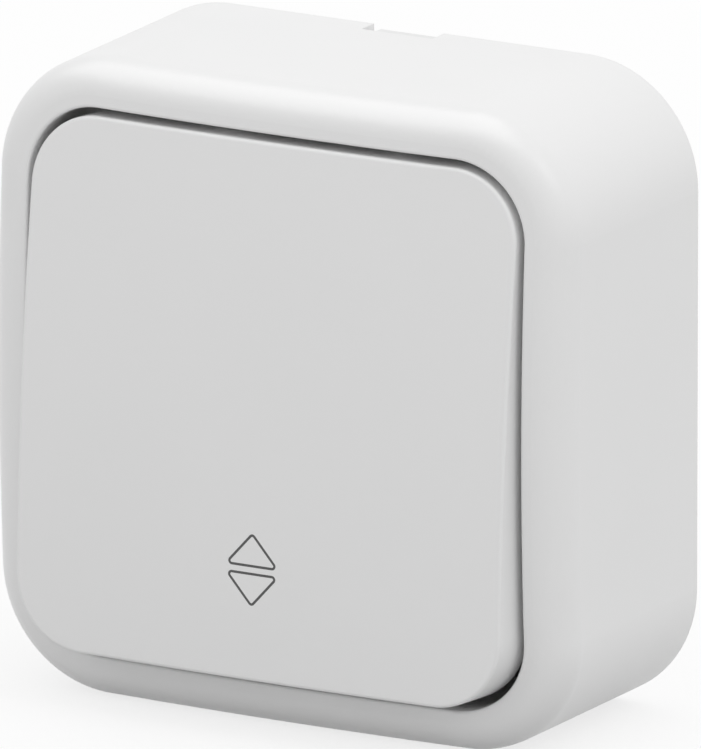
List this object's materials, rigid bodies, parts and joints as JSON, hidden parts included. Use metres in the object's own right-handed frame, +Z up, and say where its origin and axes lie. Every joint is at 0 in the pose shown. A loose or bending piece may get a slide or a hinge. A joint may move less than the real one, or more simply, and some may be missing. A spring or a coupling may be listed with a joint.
{
  "type": "two-way switch",
  "caption": "Surface-mounted two-way rocker wall switch with a deep rounded square housing, a domed front and a large tilting key.",
  "frame": {"origin": "centre of the rear face, on the wall plane", "axes": "+X to the right seen from the front, +Y into the wall, +Z up; the key faces -Y"},
  "size_m": [0.07, 0.0338, 0.07],
  "materials": {
    "white_housing": "satin moulded",
    "white_key": "satin moulded",
    "white_base": "matt moulded",
    "pale_insulator": "matt moulded",
    "grey_plastic": "matt moulded",
    "brass": "rolled and stamped",
    "silver_alloy": "headed rivet",
    "plated_steel": "zinc plated",
    "spring_steel": "drawn wire"
  },
  "bodies": {
    "base": {"housing_cover": "white_housing", "base_plate": "white_base", "mechanism_body": "pale_insulator", "bearing_frame": "pale_insulator", "common_contact": "brass", "upper_fixed_contact": "brass", "upper_fixed_tip": "silver_alloy", "lower_fixed_contact": "brass", "lower_fixed_tip": "silver_alloy", "upper_terminal_clamp": "plated_steel", "upper_terminal_screw": "plated_steel", "lower_terminal_clamp": "plated_steel", "lower_terminal_screw": "plated_steel", "common_terminal_clamp": "plated_steel", "common_terminal_screw": "plated_steel", "upper_mechanism_screw": "plated_steel", "lower_mechanism_screw": "plated_steel", "right_cover_screw": "plated_steel", "left_cover_screw": "plated_steel"},
    "rocker": {"rocker_key": "white_key", "rocker_cradle": "grey_plastic", "plunger_spring": "spring_steel"},
    "plunger": {"plunger": "grey_plastic"},
    "contact": {"moving_contact": "brass", "upper_moving_tip": "silver_alloy", "lower_moving_tip": "silver_alloy"}
  },
  "joints": [
    {"name": "key_rock", "type": "hinge", "parent": "base", "child": "rocker", "pos_m": [0, -0.0267, 0], "axis": [1, 0, 0], "range_deg": [0, 9]},
    {"name": "contact_rock", "type": "hinge", "parent": "base", "child": "contact", "pos_m": [0, -0.01007, 0], "axis": [1, 0, 0], "range_deg": [-16, 0]},
    {"name": "plunger_slide", "type": "slide", "parent": "rocker", "child": "plunger", "axis": [0, -0.9969, 0.0785], "range_m": [0, 0.0006], "stiffness_N_per_m": 400, "springref_m": -0.002, "deforming": ["plunger_spring"]}
  ],
  "couplings": [
    {"joint": "contact_rock", "follows": "key_rock", "ratio": -1.7778}
  ]
}
